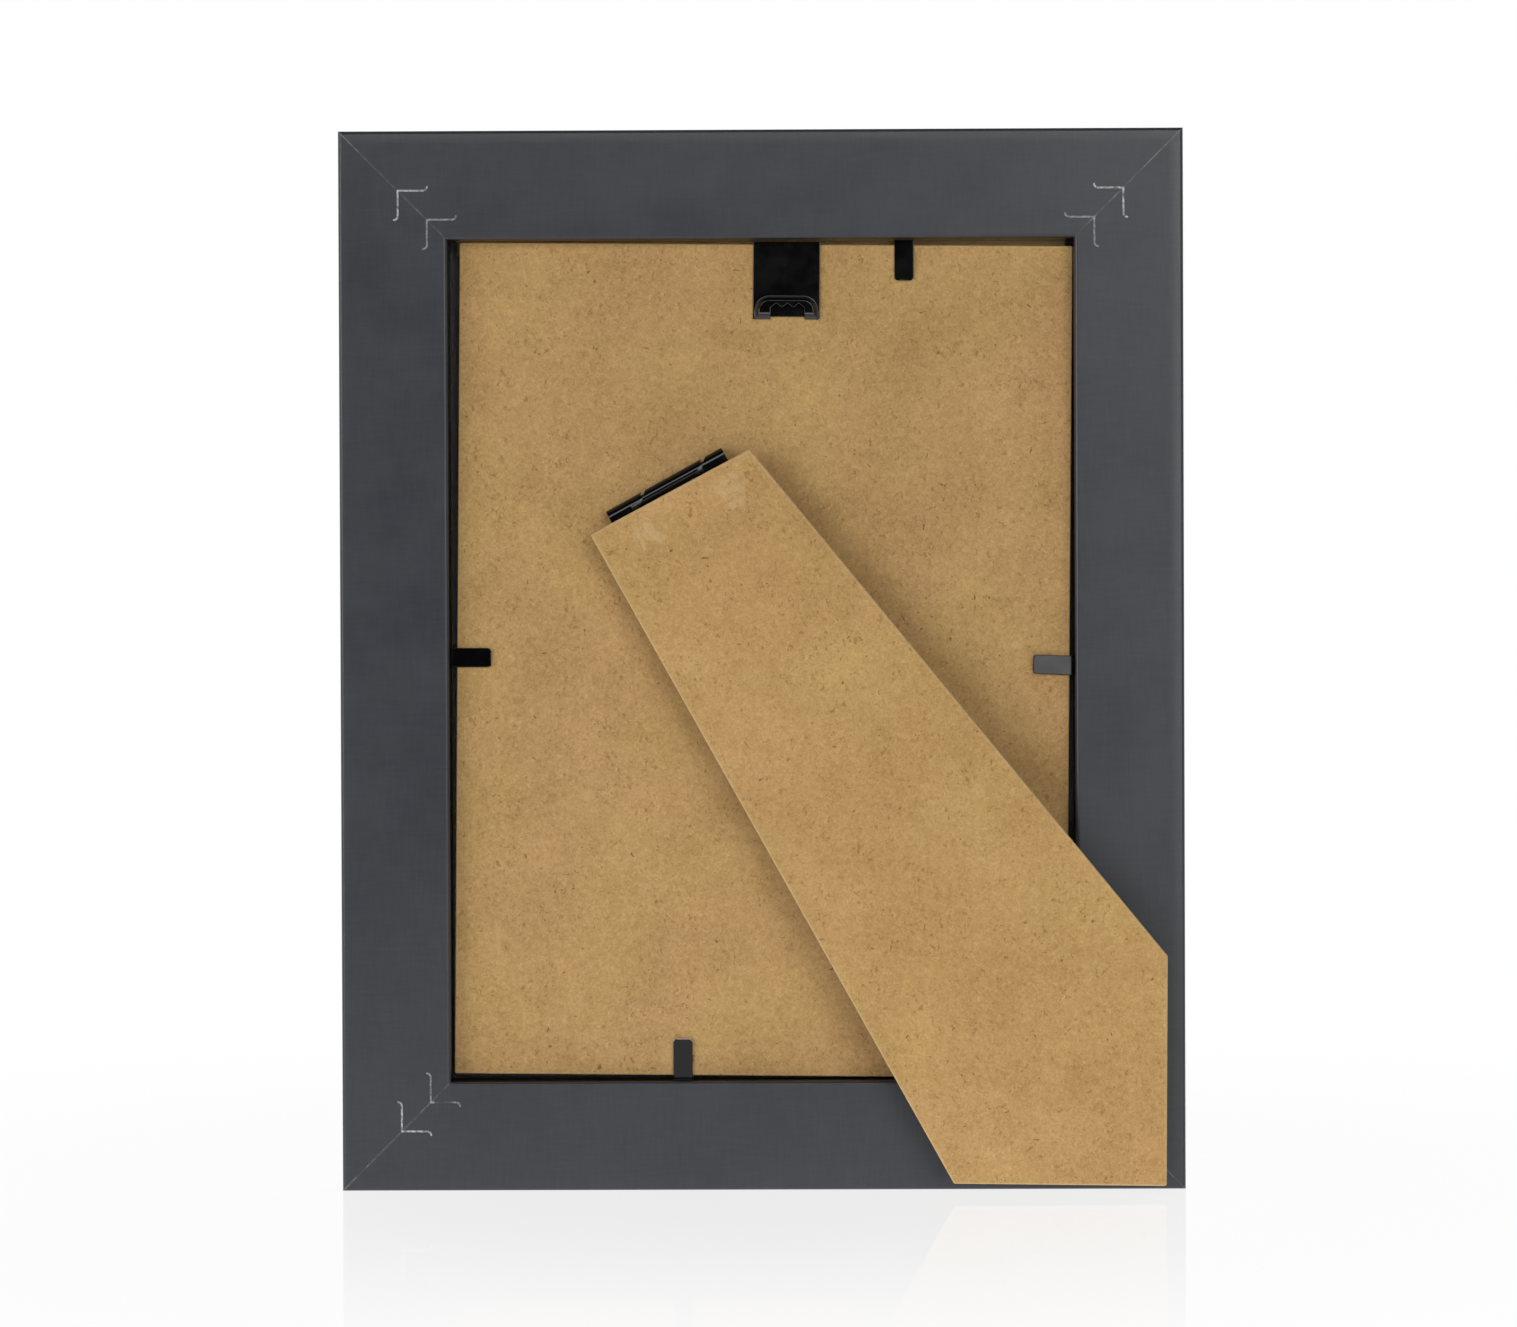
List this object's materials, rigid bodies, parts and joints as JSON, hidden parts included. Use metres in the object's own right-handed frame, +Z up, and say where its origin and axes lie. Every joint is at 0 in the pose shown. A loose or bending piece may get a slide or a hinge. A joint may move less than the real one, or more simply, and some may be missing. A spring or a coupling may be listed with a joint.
{
  "type": "easel back photo frame",
  "caption": "Mitred moulding photo frame, glazed, with a loose fibreboard back, a hinged slanted easel leg, bend-over tabs and a saw-tooth hanger.",
  "frame": {"origin": "middle of the underside of the bottom rail, halfway through the frame's depth", "axes": "+Z up, +X to the right as seen from behind, +Y towards the picture side; the leg and hanger are on the -Y side"},
  "size_m": [0.2064, 0.0287, 0.2593],
  "materials": {
    "rail_wrap": "medium density fibreboard moulding wrapped in matte dark grey foil with a fine linen texture",
    "nail_steel": "bare steel strip",
    "clear_glass": "clear float glass",
    "insert_paper": "plain matte paper sheet",
    "back_fibreboard": "raw thin fibreboard, mottled, with fine dark fibres",
    "leg_fibreboard": "raw thin fibreboard, mottled, with pale cut edges",
    "black_steel": "glossy black coated sheet steel",
    "pin_steel": "blackened steel wire",
    "tab_steel": "satin black coated spring steel strip"
  },
  "bodies": {
    "frame": {"rail_bottom": "rail_wrap", "rail_top": "rail_wrap", "rail_left": "rail_wrap", "rail_right": "rail_wrap", "v_nails_top_left": "nail_steel", "v_nails_top_right": "nail_steel", "v_nails_bottom_left": "nail_steel", "v_nails_bottom_right": "nail_steel", "glass_pane": "clear_glass", "photo_insert": "insert_paper", "back_board": "back_fibreboard", "hanger_plate": "black_steel", "hinge_leaf_board": "black_steel", "hinge_pin": "pin_steel", "tab_shank_bottom": "tab_steel", "tab_shank_top": "tab_steel", "tab_shank_left": "tab_steel", "tab_shank_right": "tab_steel"},
    "leg": {"easel_leg": "leg_fibreboard", "hinge_leaf_leg": "black_steel"},
    "tab_bottom": {"tab_blade_bottom": "tab_steel"},
    "tab_top": {"tab_blade_top": "tab_steel"},
    "tab_left": {"tab_blade_left": "tab_steel"},
    "tab_right": {"tab_blade_right": "tab_steel"}
  },
  "joints": [
    {"name": "leg_swing", "type": "hinge", "parent": "frame", "child": "leg", "pos_m": [-0.02308, -0.0044, 0.1723], "axis": [-0.8763, 0, -0.4818], "range_deg": [-2.62, 26.7]},
    {"name": "tab_bottom_bend", "type": "hinge", "parent": "frame", "child": "tab_bottom", "pos_m": [-0.0198, -0.0027, 0.027], "axis": [1, 0, 0], "range_deg": [-2, 88]},
    {"name": "tab_top_bend", "type": "hinge", "parent": "frame", "child": "tab_top", "pos_m": [0.03515, -0.0027, 0.2323], "axis": [-1, 0, 0], "range_deg": [-1, 89]},
    {"name": "tab_left_bend", "type": "hinge", "parent": "frame", "child": "tab_left", "pos_m": [-0.0762, -0.0027, 0.13054], "axis": [0, 0, -1], "range_deg": [-1, 89]},
    {"name": "tab_right_bend", "type": "hinge", "parent": "frame", "child": "tab_right", "pos_m": [0.0761, -0.0027, 0.12805], "axis": [0.0436, 0, 0.999], "range_deg": [-5, 85]}
  ]
}
